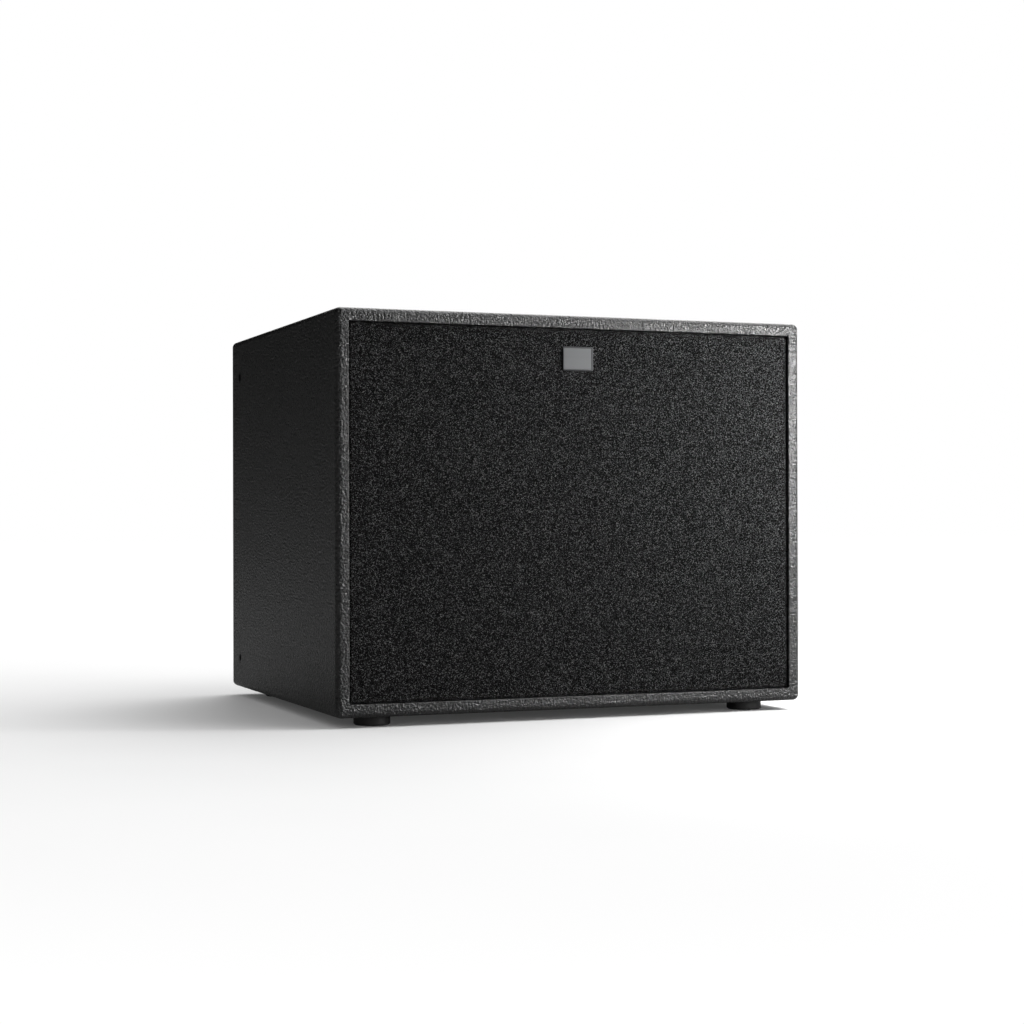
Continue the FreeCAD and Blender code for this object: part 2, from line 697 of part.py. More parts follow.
def wire_node(name, routes, r):
    o = doc.addObject("Part::Feature", name + "_shape")
    solids = [route(p, r)[0] for p in routes]
    o.Shape = solids[0] if len(solids) == 1 else Part.makeCompound(solids)
    o.Placement = FreeCAD.Placement()
    return node(o, name)


dx, dy, dz = drv_x.value, -b_front.value, mid_z.value
conn = (38.0, 121.0, mid_z.value - 72.0)      # board connector, middle
runs = []
for s in (1, -1):
    x0 = dx + 8 * s
    y0 = dy - (w_ring.value + 4.4)            # along Y, at the tab
    z0 = dz + tag_y.value - 13.4
    runs.append([
        (x0, y0, z0), (x0, y0 + 4, z0 - 20), (dx + 8 + 5 * s, y0 + 22, z0 - 30),
        (dx + 30 + 3 * s, y0 + 56, z0 - 33), (2 + 3 * s, 26, z0 - 31),
        (28 + 3 * s, 58, z0 - 21), (36 + 3 * s, 92, z0 - 12),
        (conn[0] + 3 * s, conn[1], z0 - 5), (conn[0] + 3 * s, conn[1], conn[2] - 6)])
wire_node("speaker_wires", runs, 1.4)
lead = []
for s in (-1, 1):
    x0 = dx + 5.5 * s
    lead.append([(x0, dy - (w_ring.value + 12), dz + tag_y.value - 1),
                 (x0, dy - (w_ring.value + 24), dz + tag_y.value - 1),
                 (x0, dy - (w_ring.value + 34), dz + tag_y.value + 8),
                 (x0, dy - (w_ring.value + 33.4), dz + tag_y.value + 21)])
wire_node("tinsel_leads", lead, 0.8)

# --------------------------------------------------------------------------
# amplifier module
# --------------------------------------------------------------------------
b = body("amp_gasket", at=CENTRE)
pad(b, [box(0, 0, amp_w / 2, amp_h / 2)], amp_in, r_back)
pocket(b, [box(0, 0, amp_w / 2 - 10.0, amp_h / 2 - 10.0)], amp_in, r_back)
pocket(b, [("c", x, y, 1.7) for x, y in amp_bolts], amp_in, r_back)

b = body("amp_plate", at=CENTRE)
pad(b, [box(0, 0, amp_w / 2, amp_h / 2)], amp_out, amp_in)
dress(b, "Fillet", 6, upright)
pocket(b, [("c", x, y, 1.7) for x, y in amp_bolts]
       + [("c", gain_x, cy_, 3.6), ("c", xover_x, cy_, 3.6), ("c", led_x, cy_, 2.6),
          box(phase_x, cy_, 4.2, 2.4), box(inlet_x, ly, 13.6, 15.6),
          box(rocker_x, ly, 6.6, 9.6)]
       + [("c", gain_x, ly, 3.1), ("c", xover_x, ly, 3.1)], amp_out, amp_in)
b = body("amp_screws", at=CENTRE, many=True)
pad(b, [("c", x, y, 3.5) for x, y in amp_bolts], amp_out - 2.2, amp_out)
pad(b, [("c", x, y, 1.7) for x, y in amp_bolts], amp_out, r_front + 2)
pocket(b, [box(x, y, 0.5, 2.0) for x, y in amp_bolts], amp_out - 2.2, amp_out - 1.1)
dress(b, "Fillet", 0.8, lambda e: at_z(e, amp_out - 2.2) and abs(e.Length - 2 * math.pi * 3.5) < 0.1)

b = body("heatsink", at=CENTRE)
hs_y0, hs_y1 = 18.0, 82.0
pad(b, [rect(-104, 104, hs_y0, hs_y1)], amp_out - 3, amp_out)
fins = 27
pitch = (208.0 - 2.2) / (fins - 1)
pad(b, [rect(-104 + k * pitch, -104 + k * pitch + 2.2, hs_y0, hs_y1) for k in range(fins)],
    amp_out - 14, amp_out - 3)

b = body("circuit_board", at=CENTRE)
pc_in = amp_in + 26
pad(b, [rect(8, 112, -80, 12)], pc_in, pc_in + 1.6)
posts = [(13, -75), (107, -75), (13, 7), (107, 7)]
pocket(b, [("c", x, y, 1.6) for x, y in posts], pc_in, pc_in + 1.6)
b = body("board_standoffs", at=CENTRE, many=True)
pad(b, [("c", x, y, 3.2) for x, y in posts], amp_in, pc_in)
pad(b, [("c", x, y, 1.6) for x, y in posts], pc_in, pc_in + 3.6)
b = body("board_connector", at=CENTRE)
pad(b, [rect(31, 45, -78, -66)], pc_in + 1.6, pc_in + 13)
pad(b, [rect(31, 45, -66, -63)], pc_in + 1.6, pc_in + 6)
b = body("reservoir_capacitors", at=CENTRE, many=True)
caps = [(66, -52), (92, -52)]
pad(b, [("c", x, y, 11) for x, y in caps], pc_in + 1.6, pc_in + 33)
dress(b, "Fillet", 1.2, lambda e: at_z(e, pc_in + 33))
b = body("output_transistors", at=CENTRE, many=True)
trs = [(30, 48), (56, 48), (82, 48)]
pad(b, [box(x, y, 8, 10) for x, y in trs], amp_in, amp_in + 4.8)
b = body("toroid_transformer", at=(-62, 0, mid_z + 36))
turn(b, [(13, amp_in), (38, amp_in, 38, amp_in + 4), (42, amp_in + 4),
         (42, amp_in + 30, 38, amp_in + 30),
         (38, amp_in + 34), (13, amp_in + 34)])
b = body("transformer_bolt", at=(-62, 0, mid_z + 36))
turn(b, [(0, amp_in), (3, amp_in), (3, amp_in + 34), (26, amp_in + 34),
         (27, amp_in + 35.6), (0, amp_in + 35.6)])
pad(b, [("p", [(x, y) for x, y in ring_at(5.8, 6)])], amp_in + 35.6, amp_in + 39)

# pots, shafts and knobs
for who, px in (("gain", gain_x), ("crossover", xover_x)):
    place = (px, 0, mid_z + cy_)
    b = body(who + "_pot", at=place)
    pad(b, [("c", 0, 0, 8.5)], amp_in + 2, amp_in + 11)
    pad(b, [("c", 0, 0, 3.5)], amp_out - 3.5, amp_in + 2)
    pad(b, [("p", [(x, y) for x, y in ring_at(5.6, 6)])], amp_out - 2, amp_out)
    pocket(b, [("c", 0, 0, shaft_r + 0.1)], amp_out - 3.5, amp_in + 8)
    b = body(who + "_shaft", at=place)
    pad(b, [("c", 0, 0, shaft_r)], amp_out - 11.5, amp_in + 7.5)
    b = body(who + "_knob", at=place)
    pad(b, [("c", 0, 0, knob_r)], amp_out - 0.7 - knob_l, amp_out - 0.7)
    pocket(b, [("c", 0, 0, 7)], amp_out - 4.6, amp_out - 0.7)
    pocket(b, [("c", 0, 0, shaft_r)], amp_out - 11.5, amp_out - 4.6)
    dress(b, "Chamfer", 1.0, lambda e: at_z(e, amp_out - 0.7 - knob_l))
    notch = pocket(b, [("c", knob_r + 0.9, 0, 1.7)], amp_out - 0.7 - knob_l, amp_out - 3.6)
    around(b, [notch], 12)
    pocket(b, [rect(-0.6, 0.6, 2.5, knob_r - 2.2)], amp_out - 0.7 - knob_l,
           amp_out - 0.1 - knob_l)

# phase switch
b = body("phase_switch", at=(phase_x, 0, mid_z + cy_))
pad(b, [box(0, 0, 8, 4.5)], amp_in, amp_in + 7)
pocket(b, [box(0, 0, 4.2, 2.4)], amp_in, amp_in + 4)
b = body("phase_slider", at=(phase_x, 0, mid_z + cy_))
pad(b, [rect(-4.0, 0.0, -2.1, 2.1)], amp_out - 3, amp_in + 3.7)
pocket(b, [rect(-2.2, -1.8, -2.1, 2.1)], amp_out - 3, amp_out - 2.5)

b = body("power_led", at=(led_x, 0, mid_z + cy_))
turn(b, [(0, amp_in + 2), (2.5, amp_in + 2), (2.5, amp_out - 0.6), (1.9, amp_out - 2.2),
         (0, amp_out - 2.9)])

# line input jacks
jacks = [gain_x, xover_x]
b = body("line_jacks", at=(0, 0, mid_z + ly), many=True)
for x in jacks:
    pad(b, [("p", [(x + cx, cy) for cx, cy in ring_at(7.0, 6)])], amp_out - 2, amp_out)
    pad(b, [("c", x, 0, 4.15)], amp_out - 10, amp_out - 2)
    pad(b, [("c", x, 0, 3.1)], amp_out, amp_in + 8)
    pocket(b, [("c", x, 0, 1.6)], amp_out - 10, amp_out - 2)

# mains inlet with a fuse drawer under the socket
b = body("mains_inlet", at=(inlet_x, 0, mid_z + ly))
pad(b, [box(0, 0, 16, 18)], amp_out - 3, amp_out)
pad(b, [box(0, 0, 13.5, 15.5)], amp_out, amp_in + 18)
pocket(b, [("p", [(-12.2, -2.4), (12.2, -2.4), (12.2, 9.5), (8.2, 13.6), (-8.2, 13.6),
                  (-12.2, 9.5)])], amp_out - 3, amp_out + 13)
pocket(b, [rect(-11, 11, -13.4, -5.2)], amp_out - 3, amp_out + 17)
blades = [(-7.0, 3.6), (7.0, 3.6), (0.0, 8.6)]
pad(b, [box(x, y, 1.0, 2.0) for x, y in blades], amp_out + 4, amp_out + 13)
pad(b, [box(x, y, 0.4, 2.4) for x, y in blades], amp_in + 18, amp_in + 26)
b = body("fuse_drawer", at=(inlet_x, 0, mid_z + ly))
pad(b, [rect(-10.7, 10.7, -13.1, -5.5)], amp_out - 3.8, amp_out + 14)
pocket(b, [rect(-10.2, 10.2, -12.3, -4.0)], amp_out + 5.8, amp_out + 14)
pocket(b, [rect(-5, 5, -13.2, -11.4)], amp_out - 3.8, amp_out - 2.6)
pocket(b, [rect(-8, 8, -8.2, -7.6)], amp_out - 3.8, amp_out - 3.4)
b = body("fuse", at=(inlet_x, 0, mid_z + ly))
fz = amp_out + 9
pad(b, [("c", -9.5, fz, 2.3)], -10, 10, plane="YZ_Plane")
pad(b, [("c", -9.5, fz, 2.6)], -10, -5, plane="YZ_Plane")
pad(b, [("c", -9.5, fz, 2.6)], 5, 10, plane="YZ_Plane")

# power rocker, stored in its off position
b = body("rocker_housing", at=(rocker_x, 0, mid_z + ly))
pad(b, [box(0, 0, 8, 11)], amp_out - 2, amp_out)
dress(b, "Fillet", 1.0, upright)
pad(b, [box(0, 0, 6.5, 9.5)], amp_out, amp_in + 14)
pocket(b, [box(0, 0, 5.3, 8.3)], amp_out - 2, amp_out + 8)
TILT = 9.0
b = body("power_rocker", turn=FRONT.multiply(FreeCAD.Rotation(V(1, 0, 0), TILT)),
         at=(rocker_x, -(amp_out + 2), mid_z + ly))
pad(b, [("p", [(-7.6, 1.0), (-7.6, -3.4), (0, -4.4), (7.6, -3.4), (7.6, 1.0), (2.0, 3.4),
               (-2.0, 3.4)])], -5.0, 5.0, plane="YZ_Plane")

# --------------------------------------------------------------------------
# checks and files
# --------------------------------------------------------------------------
doc.recompute()
for o in doc.Objects:
    if "Invalid" in o.State or "Error" in o.State:
        raise RuntimeError("%s is %s" % (o.Label, o.State))
if len({o.Label for o in NODES}) != len(NODES) or len(NODES) > 60:
    raise RuntimeError("node names clash or there are too many")
for o in NODES:
    s = o.Shape
    if s.isNull() or not s.isValid() or not s.Solids:
        raise RuntimeError("bad shape in " + o.Label)
os.makedirs("parts", exist_ok=True)
for o in NODES:
    o.Shape.exportStep("parts/%s.step" % o.Label)
    bb = o.Shape.BoundBox
    print("%-22s %2d solid(s) %10.1f mm3  x %.1f %.1f  y %.1f %.1f  z %.1f %.1f"
          % (o.Label, len(o.Shape.Solids), o.Shape.Volume, bb.XMin, bb.XMax,
             bb.YMin, bb.YMax, bb.ZMin, bb.ZMax))
print(len(NODES), "nodes")
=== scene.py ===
import json
import math

import bpy
import numpy as np
from mathutils import Matrix, Vector


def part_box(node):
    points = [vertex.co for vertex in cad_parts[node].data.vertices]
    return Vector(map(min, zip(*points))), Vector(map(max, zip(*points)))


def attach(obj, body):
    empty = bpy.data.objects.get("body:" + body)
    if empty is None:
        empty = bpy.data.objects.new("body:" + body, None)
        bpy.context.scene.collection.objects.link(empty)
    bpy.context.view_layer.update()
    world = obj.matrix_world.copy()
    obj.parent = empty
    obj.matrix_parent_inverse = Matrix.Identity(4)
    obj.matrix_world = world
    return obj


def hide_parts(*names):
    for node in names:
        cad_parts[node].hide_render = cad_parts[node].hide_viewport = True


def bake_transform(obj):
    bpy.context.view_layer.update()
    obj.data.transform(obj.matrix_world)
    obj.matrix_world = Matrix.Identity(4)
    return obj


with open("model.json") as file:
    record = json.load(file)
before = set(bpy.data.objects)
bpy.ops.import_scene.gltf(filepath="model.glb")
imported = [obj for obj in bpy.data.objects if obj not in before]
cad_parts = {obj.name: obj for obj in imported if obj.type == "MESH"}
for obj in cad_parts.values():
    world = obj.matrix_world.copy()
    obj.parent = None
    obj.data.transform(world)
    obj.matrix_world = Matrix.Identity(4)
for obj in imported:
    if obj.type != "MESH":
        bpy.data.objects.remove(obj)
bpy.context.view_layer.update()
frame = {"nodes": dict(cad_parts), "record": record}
record = frame["record"]
nodes = frame["nodes"]
scene = bpy.context.scene
MM = 0.001


# ---------------------------------------------------------------- camera
def camera():
    yaw, pitch, roll = (math.radians(a) for a in (21.624, 0.1798, -0.14587))
    s, c, sp, cp = math.sin(yaw), math.cos(yaw), math.sin(pitch), math.cos(pitch)
    right = Vector((c, -s, 0))
    ahead = Vector((s * cp, c * cp, sp))
    up = Vector((-s * sp, -c * sp, cp))
    x = right * math.cos(roll) + up * math.sin(roll)
    y = up * math.cos(roll) - right * math.sin(roll)
    data = bpy.data.cameras.new("camera")
    data.sensor_width = 36.0
    data.lens = 69.29
    data.clip_start, data.clip_end = 0.05, 60
    o = bpy.data.objects.new("camera", data)
    scene.collection.objects.link(o)
    m = Matrix((x, y, -ahead)).transposed().to_4x4()
    m.translation = Vector((-0.656715, -1.680551, 0.167763))
    o.matrix_world = m
    scene.camera = o


# ---------------------------------------------------------------- materials
class Nodes:
    """A small builder round one material's node tree."""

    def __init__(self, name):
        self.m = bpy.data.materials.new(name)
        self.m.use_nodes = True
        self.t = self.m.node_tree
        self.t.nodes.clear()
        self.out = self.t.nodes.new("ShaderNodeOutputMaterial")
        self.b = self.t.nodes.new("ShaderNodeBsdfPrincipled")
        self.link(self.b.outputs["BSDF"], self.out.inputs["Surface"])
        self.coord = self.t.nodes.new("ShaderNodeTexCoord").outputs["Object"]

    def link(self, a, b):
        self.t.links.new(a, b)

    def set(self, **values):
        for k, v in values.items():
            self.b.inputs[k.replace("_", " ")].default_value = v
        return self

    def mapped(self, scale=(1, 1, 1), rotation=(0, 0, 0)):
        n = self.t.nodes.new("ShaderNodeMapping")
        n.inputs["Scale"].default_value = scale
        n.inputs["Rotation"].default_value = rotation
        self.link(self.coord, n.inputs["Vector"])
        return n.outputs["Vector"]

    def noise(self, scale, detail=2.0, rough=0.5, at=None):
        n = self.t.nodes.new("ShaderNodeTexNoise")
        n.inputs["Scale"].default_value = scale
        n.inputs["Detail"].default_value = detail
        n.inputs["Roughness"].default_value = rough
        self.link(at or self.coord, n.inputs["Vector"])
        return n.outputs["Fac"]

    def cells(self, scale, feature="F1", at=None):
        n = self.t.nodes.new("ShaderNodeTexVoronoi")
        n.feature = feature
        n.inputs["Scale"].default_value = scale
        self.link(at or self.coord, n.inputs["Vector"])
        return n.outputs["Distance"]

    def specks(self, scale, at=None):
        """A random tone for each small cell."""
        n = self.t.nodes.new("ShaderNodeTexVoronoi")
        n.inputs["Scale"].default_value = scale
        self.link(at or self.coord, n.inputs["Vector"])
        split = self.t.nodes.new("ShaderNodeSeparateColor")
        self.link(n.outputs["Color"], split.inputs[0])
        return split.outputs[0]

    def wave(self, scale, axis="Z", distort=0.0, at=None, kind="BANDS"):
        n = self.t.nodes.new("ShaderNodeTexWave")
        n.wave_type = kind
        if kind == "BANDS":
            n.bands_direction = axis
        n.inputs["Scale"].default_value = scale
        n.inputs["Distortion"].default_value = distort
        self.link(at or self.coord, n.inputs["Vector"])
        return n.outputs["Fac"]

    def span(self, value, lo, hi, to_lo, to_hi):
        n = self.t.nodes.new("ShaderNodeMapRange")
        for k, v in (("From Min", lo), ("From Max", hi), ("To Min", to_lo), ("To Max", to_hi)):
            n.inputs[k].default_value = v
        self.link(value, n.inputs["Value"])
        return n.outputs["Result"]

    def math(self, op, a, b):
        n = self.t.nodes.new("ShaderNodeMath")
        n.operation = op
        for i, v in enumerate((a, b)):
            if isinstance(v, (int, float)):
                n.inputs[i].default_value = v
            else:
                self.link(v, n.inputs[i])
        return n.outputs["Value"]

    def ramp(self, value, stops):
        n = self.t.nodes.new("ShaderNodeValToRGB")
        r = n.color_ramp
        while len(r.elements) < len(stops):
            r.elements.new(0.5)
        for e, (pos, col) in zip(r.elements, stops):
            e.position = pos
            e.color = (*col, 1)
        self.link(value, n.inputs["Fac"])
        return n.outputs["Color"]

    def colour(self, socket):
        self.link(socket, self.b.inputs["Base Color"])
        return self

    def rough(self, socket):
        self.link(socket, self.b.inputs["Roughness"])
        return self

    def bump(self, layers):
        """layers: (height socket, distance in mm), stacked."""
        last = None
        for height, mm in layers:
            n = self.t.nodes.new("ShaderNodeBump")
            n.inputs["Strength"].default_value = 1.0
            n.inputs["Distance"].default_value = mm * MM
            self.link(height, n.inputs["Height"])
            if last is not None:
                self.link(last, n.inputs["Normal"])
            last = n.outputs["Normal"]
        self.link(last, self.b.inputs["Normal"])
        return self


def shades(c, k):
    """Two tones of a colour, k apart."""
    return tuple(x * (1 - k) for x in c), tuple(min(1, x * (1 + k)) for x in c)


def plain(name, col, rough, metal=0.0, vary=0.15, patch=60, grain=900, depth=0.02,
          spread=0.08, **sockets):
    """Moulded, painted or metal surface: patchy tone, uneven gloss, fine grain."""
    n = Nodes(name)
    n.set(Metallic=metal, **sockets)
    lo, hi = shades(col, vary)
    n.colour(n.ramp(n.noise(patch, 4, 0.6), [(0.3, lo), (0.7, hi)]))
    n.rough(n.span(n.noise(patch * 2.7, 3), 0.3, 0.7, max(0.02, rough - spread), rough + spread))
    n.bump([(n.noise(grain, 3), depth)])
    return n.m


def brushed(name, col, rough, stretch, vary=0.12, depth=0.01):
    n = Nodes(name)
    n.set(Metallic=1.0)
    at = n.mapped(stretch)
    streak = n.noise(40, 5, 0.65, at)
    lo, hi = shades(col, vary)
    n.colour(n.ramp(streak, [(0.3, lo), (0.7, hi)]))
    n.rough(n.span(streak, 0.3, 0.7, rough - 0.07, rough + 0.1))
    n.bump([(streak, depth)])
    return n.m


def spatter_coat(name):
    """Sprayed textured coat: 2 mm lumps with finer grit on them."""
    n = Nodes(name)
    n.set(Specular_IOR_Level=0.95)
    lumps = n.noise(520, 2.0, 0.5)
    grit = n.noise(1000, 2, 0.6)
    drops = n.cells(520, "SMOOTH_F1")
    n.colour(n.ramp(lumps, [(0.30, (0.0020, 0.0020, 0.0021)), (0.52, (0.0070, 0.0071, 0.0072)),
                            (0.72, (0.024, 0.0241, 0.0245))]))
    n.rough(n.span(n.noise(500, 2), 0.3, 0.7, 0.25, 0.38))
    n.bump([(lumps, 1.7), (drops, 0.45), (grit, 0.3)])
    return n.m


def open_foam(name):
    """Open-cell acoustic foam: dark cells with lighter struts between them. The cell hollows are darkened as painted
    shade, the sparse brightest specks on the struts are painted highlights, and the rest is random tone.
    """
    n = Nodes(name)
    n.set(Specular_IOR_Level=0.02)
    cells = n.cells(1500)
    fine = n.noise(1900, 3, 0.7)
    both = n.math("ADD", n.math("MULTIPLY", n.specks(1650), 0.44),
                  n.math("ADD", n.math("MULTIPLY", cells, 0.35), n.math("MULTIPLY", fine, 0.42)))
    # painted shade in the cell hollows and painted highlights on the struts, over a random tone
    n.colour(n.ramp(both, [(0.40, (0.0017, 0.0017, 0.0017)), (0.58, (0.0043, 0.0043, 0.0044)),
                           (0.73, (0.0125, 0.0125, 0.0127)), (0.88, (0.125, 0.125, 0.126))]))
    n.rough(n.span(fine, 0.3, 0.7, 0.65, 0.9))
    n.bump([(both, 0.45)])
    return n.m


def painted_board(name):
    n = Nodes(name)
    n.set(Specular_IOR_Level=0.35)
    at = n.mapped((1, 1, 0.06))
    grain = n.noise(260, 6, 0.65, at)
    n.colour(n.ramp(grain, [(0.3, (0.012, 0.012, 0.0125)), (0.7, (0.026, 0.026, 0.027))]))
    n.rough(n.span(n.noise(120, 3), 0.3, 0.7, 0.5, 0.68))
    n.bump([(grain, 0.12), (n.noise(900, 2), 0.05)])
    return n.m


def ply(name):
    n = Nodes(name)
    at = n.mapped((0.08, 1, 1))
    grain = n.noise(170, 8, 0.7, at)
    n.colour(n.ramp(grain, [(0.25, (0.40, 0.26, 0.13)), (0.5, (0.58, 0.42, 0.25)),
                            (0.75, (0.68, 0.53, 0.35))]))
    n.rough(n.span(grain, 0.3, 0.7, 0.55, 0.75))
    n.bump([(grain, 0.08)])
    return n.m


def fibre(name, lo, hi, scale=500, depth=0.35, sheen=0.25):
    n = Nodes(name)
    n.set(Sheen_Weight=sheen, Sheen_Roughness=0.5)
    f = n.noise(scale, 6, 0.75)
    n.colour(n.ramp(f, [(0.3, lo), (0.7, hi)]))
    n.rough(n.span(f, 0.3, 0.7, 0.8, 0.95))
    n.bump([(f, depth)])
    return n.m


def woven(name, lo, hi, pitch_mm):
    n = Nodes(name)
    k = math.pi / (pitch_mm * MM) / 10
    a, b = n.wave(k, "X"), n.wave(k, "Z")
    w = n.math("MULTIPLY", a, b)
    n.colour(n.ramp(n.math("ADD", n.math("MULTIPLY", w, 0.6), n.math("MULTIPLY", n.noise(90, 4), 0.4)),
                    [(0.1, lo), (0.7, hi)]))
    n.rough(n.span(w, 0, 1, 0.6, 0.85))
    n.bump([(w, 0.15)])
    return n.m


def winding(name, lo, hi, pitch_mm, metal=1.0):
    n = Nodes(name)
    n.set(Metallic=metal)
    w = n.wave(math.pi / (pitch_mm * MM) / 10, "Y", 0.3)
    n.colour(n.ramp(w, [(0.1, lo), (0.8, hi)]))
    n.rough(n.span(n.noise(200, 3), 0.3, 0.7, 0.25, 0.45))
    n.bump([(w, 0.15)])
    return n.m


def laminate(name):
    n = Nodes(name)
    n.set(Coat_Weight=0.4, Coat_Roughness=0.2)
    tracks = n.cells(130, "DISTANCE_TO_EDGE")
    n.colour(n.ramp(tracks, [(0.02, (0.03, 0.16, 0.07)), (0.08, (0.012, 0.075, 0.032))]))
    n.rough(n.span(n.noise(200, 3), 0.3, 0.7, 0.3, 0.45))
    n.bump([(tracks, 0.04)])
    return n.m


def lens(name):
    n = Nodes(name)
    n.set(Transmission_Weight=0.6, IOR=1.5, Emission_Color=(0.05, 0.9, 0.15, 1),
          Emission_Strength=1.2)
    n.colour(n.ramp(n.noise(900, 2), [(0.3, (0.05, 0.5, 0.12)), (0.7, (0.08, 0.7, 0.2))]))
    n.rough(n.span(n.noise(500, 2), 0.3, 0.7, 0.08, 0.18))
    return n.m


def glass(name):
    n = Nodes(name)
    n.set(Transmission_Weight=0.9, IOR=1.5)
    n.colour(n.ramp(n.noise(300, 2), [(0.3, (0.80, 0.85, 0.85)), (0.7, (0.9, 0.95, 0.95))]))
    n.rough(n.span(n.noise(300, 2), 0.3, 0.7, 0.02, 0.07))
    return n.m


MAT = {
    "coated_ply": spatter_coat("coat"),
    "painted_board": painted_board("painted_board"),
    "raw_ply": ply("raw_ply"),
    "wadding": fibre("wadding", (0.62, 0.62, 0.60), (0.86, 0.86, 0.84), 350, 0.8, 0.4),
    "port_plastic": plain("port_plastic", (0.018, 0.018, 0.018), 0.48, grain=1100, depth=0.04),
    "foot_rubber": plain("foot_rubber", (0.034, 0.034, 0.034), 0.50, grain=1300, depth=0.03),
    "socket_rubber": plain("socket_rubber", (0.02, 0.02, 0.02), 0.75, depth=0.03),
    "zinc_steel": plain("zinc_steel", (0.60, 0.60, 0.62), 0.32, 1.0, 0.1, 130),
    "black_screw": plain("black_screw", (0.02, 0.02, 0.022), 0.4, 0.4, 0.25, 130),
    "grille_foam": open_foam("foam"),
    "grille_steel": plain("grille_steel", (0.013, 0.013, 0.014), 0.48, grain=1600, depth=0.025),
    "peg_plastic": plain("peg_plastic", (0.02, 0.02, 0.02), 0.45, depth=0.02),
    "badge_metal": brushed("badge_metal", (0.075, 0.076, 0.078), 0.45, (0.05, 1, 8), 0.06, 0.004),
    "basket_steel": plain("basket_steel", (0.016, 0.016, 0.018), 0.45, grain=1400, depth=0.04),
    "gasket_rubber": plain("gasket_rubber", (0.016, 0.016, 0.016), 0.8, grain=700, depth=0.08),
    "surround_rubber": plain("surround_rubber", (0.013, 0.013, 0.013), 0.42, grain=700, depth=0.02),
    "cone_paper": fibre("cone_paper", (0.014, 0.014, 0.015), (0.034, 0.034, 0.036), 420, 0.15, 0.1),
    "cap_paper": fibre("cap_paper", (0.014, 0.014, 0.015), (0.03, 0.03, 0.032), 520, 0.10, 0.1),
    "spider_cloth": woven("spider_cloth", (0.38, 0.23, 0.07), (0.66, 0.45, 0.18), 0.9),
    "former_aluminium": brushed("former_aluminium", (0.72, 0.72, 0.73), 0.3, (1, 8, 1)),
    "coil_copper": winding("coil_copper", (0.42, 0.16, 0.07), (0.80, 0.42, 0.24), 0.6),
    "motor_steel": plain("motor_steel", (0.08, 0.08, 0.085), 0.4, 1.0, 0.2, 90),
    "ferrite": plain("ferrite", (0.05, 0.05, 0.052), 0.62, grain=1300, depth=0.06),
    "terminal_board": plain("terminal_board", (0.30, 0.15, 0.055), 0.5, vary=0.25, patch=150),
    "wire_jacket": plain("wire_jacket", (0.24, 0.02, 0.02), 0.4, depth=0.01),
    "amp_panel": plain("amp_panel", (0.017, 0.017, 0.018), 0.46, vary=0.12, grain=1500, depth=0.03),
    "heatsink_alloy": brushed("heatsink_alloy", (0.045, 0.045, 0.048), 0.36, (1, 1, 0.08), 0.2),
    "circuit_laminate": laminate("circuit_laminate"),
    "connector_plastic": plain("connector_plastic", (0.74, 0.72, 0.66), 0.45, vary=0.06),
    "capacitor_sleeve": plain("capacitor_sleeve", (0.02, 0.02, 0.035), 0.28, vary=0.15),
    "device_epoxy": plain("device_epoxy", (0.022, 0.022, 0.024), 0.6, grain=1500, depth=0.04),
    "transformer_tape": winding("transformer_tape", (0.45, 0.30, 0.06), (0.74, 0.56, 0.16), 3.0, 0.0),
    "bright_steel": plain("bright_steel", (0.62, 0.62, 0.64), 0.24, 1.0, 0.08, 160),
    "knob_plastic": plain("knob_plastic", (0.018, 0.018, 0.019), 0.56, grain=1600, depth=0.03,
                          Sheen_Weight=0.15),
    "led_lens": lens("led_lens"),
    "jack_metal": plain("jack_metal", (0.80, 0.56, 0.20), 0.24, 1.0, 0.08, 160),
    "inlet_plastic": plain("inlet_plastic", (0.015, 0.015, 0.015), 0.42, grain=1400, depth=0.03),
    "rocker_plastic": plain("rocker_plastic", (0.012, 0.012, 0.012), 0.18, spread=0.05, depth=0.005),
    "fuse_glass": glass("fuse_glass"),
}
FIELD = brushed("badge_satin", (0.135, 0.137, 0.140), 0.5, (0.05, 1, 8), 0.08, 0.003)
PRINT = plain("dial_print", (0.78, 0.78, 0.76), 0.55, vary=0.05, depth=0.01)

for sub in record["subparts"]:
    o = nodes[sub["node"]]
    o.data.materials.clear()
    o.data.materials.append(MAT[sub["material_slot"]])


# ---------------------------------------------------------------- pieces
def piece(name, verts, faces, slot, smooth=True, material=None):
    me = bpy.data.meshes.new(name)
    me.from_pydata([tuple(map(float, v)) for v in verts], [], faces)
    me.validate()
    me.materials.append(material or MAT[slot])
    if smooth:
        me.shade_smooth()
    o = bpy.data.objects.new(name, me)
    scene.collection.objects.link(o)
    return o


def outward(o):
    import bmesh
    bm = bmesh.new()
    bm.from_mesh(o.data)
    bmesh.ops.recalc_face_normals(bm, faces=bm.faces)
    bm.to_mesh(o.data)
    bm.free()
    return o


